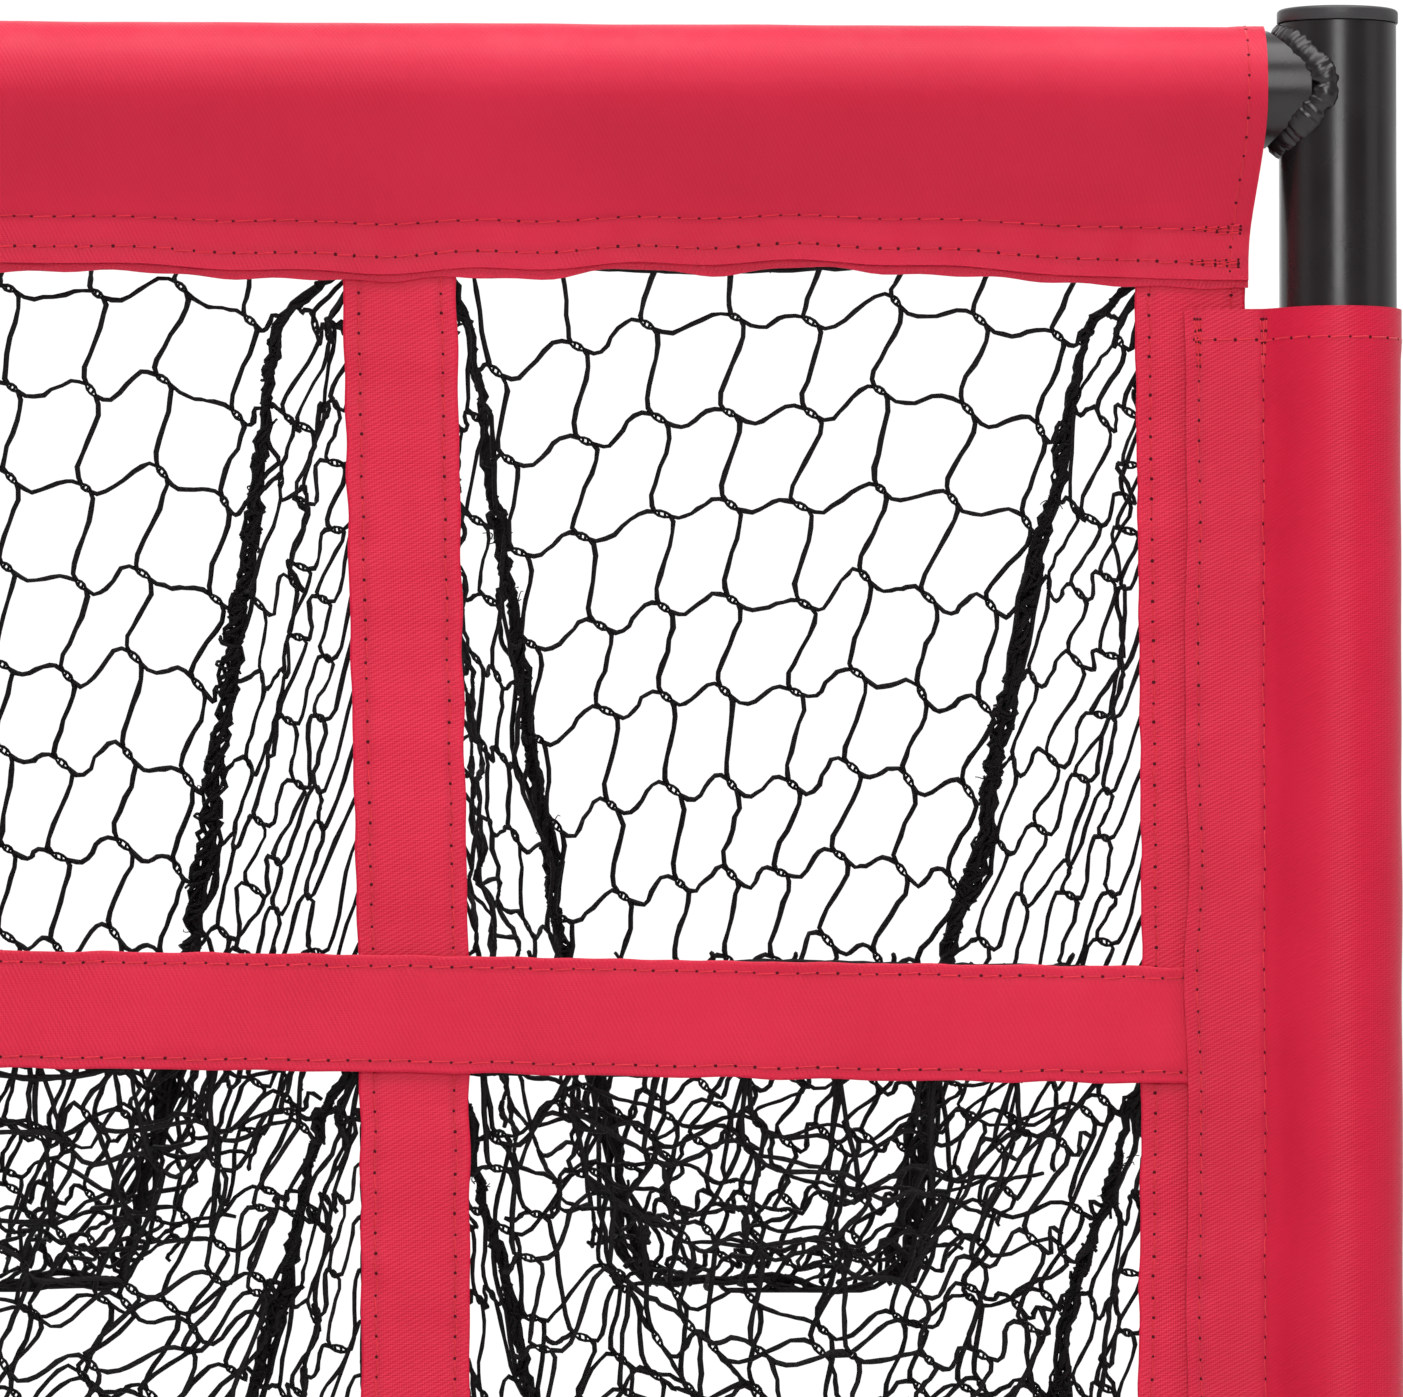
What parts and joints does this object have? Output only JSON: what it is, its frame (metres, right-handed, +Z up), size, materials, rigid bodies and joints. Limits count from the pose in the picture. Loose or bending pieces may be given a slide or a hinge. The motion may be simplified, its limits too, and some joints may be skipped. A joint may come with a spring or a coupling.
{
  "type": "golf chipping net",
  "caption": "Free-standing golf chipping target: red cloth grid with a black net pocket behind each opening, on a black steel tube frame with turning feet.",
  "frame": {"origin": "on the floor, midway between the two feet, at the centre of the object's base", "axes": "+Z up, -Y out of the front of the target, +X to the right seen from the front"},
  "size_m": [0.6366, 0.45, 0.9276],
  "materials": {
    "tube_black": "satin black powder coat",
    "plastic_black": "moulded, fine grain",
    "rubber_black": "moulded matt rubber",
    "zinc_steel": "bright zinc plate",
    "spring_steel": "blued spring steel",
    "cloth_red": "plain weave coated polyester, sewn",
    "webbing_red": "folded polyester band, edge stitched",
    "net_black": "knotless knitted twine mesh"
  },
  "bodies": {
    "root": {"post_left": "tube_black", "top_rail_left": "tube_black", "top_weld_left": "tube_black", "post_cap_left": "plastic_black", "leg_left": "tube_black", "bottom_rail_left": "tube_black", "bottom_weld_left": "tube_black", "post_joiner_left": "tube_black", "clamp_nut_left": "zinc_steel", "snap_spring_left": "spring_steel", "side_sleeve_left": "cloth_red", "side_band_left": "webbing_red", "upright_strap_left": "webbing_red", "post_right": "tube_black", "top_rail_right": "tube_black", "top_weld_right": "tube_black", "post_cap_right": "plastic_black", "leg_right": "tube_black", "bottom_rail_right": "tube_black", "bottom_weld_right": "tube_black", "post_joiner_right": "tube_black", "clamp_nut_right": "zinc_steel", "snap_spring_right": "spring_steel", "side_sleeve_right": "cloth_red", "side_band_right": "webbing_red", "upright_strap_right": "webbing_red", "top_rail_joiner": "tube_black", "bottom_rail_joiner": "tube_black", "header_sleeve": "cloth_red", "bottom_sleeve": "cloth_red", "level_band_lower": "webbing_red", "level_band_upper": "webbing_red", "net_bag_bottom_left": "net_black", "net_bag_bottom_middle": "net_black", "net_bag_bottom_right": "net_black", "net_bag_middle_left": "net_black", "net_bag_middle_middle": "net_black", "net_bag_middle_right": "net_black", "net_bag_top_left": "net_black", "net_bag_top_middle": "net_black", "net_bag_top_right": "net_black"},
    "foot_left": {"foot_tube_left": "tube_black", "foot_stub_left": "tube_black", "foot_weld_left": "tube_black", "foot_cap_front_left": "rubber_black", "foot_cap_back_left": "rubber_black"},
    "knob_left": {"clamp_knob_left": "plastic_black"},
    "button_left": {"snap_button_left": "zinc_steel"},
    "foot_right": {"foot_tube_right": "tube_black", "foot_stub_right": "tube_black", "foot_weld_right": "tube_black", "foot_cap_front_right": "rubber_black", "foot_cap_back_right": "rubber_black"},
    "knob_right": {"clamp_knob_right": "plastic_black"},
    "button_right": {"snap_button_right": "zinc_steel"}
  },
  "joints": [
    {"name": "foot_turn_left", "type": "hinge", "parent": "root", "child": "foot_left", "pos_m": [-0.2835, 0, 0.05], "axis": [0, 0, 1], "range_deg": [-90, 90]},
    {"name": "knob_turn_left", "type": "hinge", "parent": "root", "child": "knob_left", "pos_m": [-0.2835, 0, 0.07], "axis": [-1, 0, 0], "continuous": true},
    {"name": "button_press_left", "type": "slide", "parent": "root", "child": "button_left", "axis": [1, 0, 0], "range_m": [0, 0.005], "stiffness_N_per_m": 800, "springref_m": -0.002, "deforming": ["snap_spring_left"]},
    {"name": "foot_turn_right", "type": "hinge", "parent": "root", "child": "foot_right", "pos_m": [0.2835, 0, 0.05], "axis": [0, 0, 1], "range_deg": [-90, 90]},
    {"name": "knob_turn_right", "type": "hinge", "parent": "root", "child": "knob_right", "pos_m": [0.2835, 0, 0.07], "axis": [1, 0, 0], "continuous": true},
    {"name": "button_press_right", "type": "slide", "parent": "root", "child": "button_right", "axis": [-1, 0, 0], "range_m": [0, 0.005], "stiffness_N_per_m": 800, "springref_m": -0.002, "deforming": ["snap_spring_right"]}
  ]
}
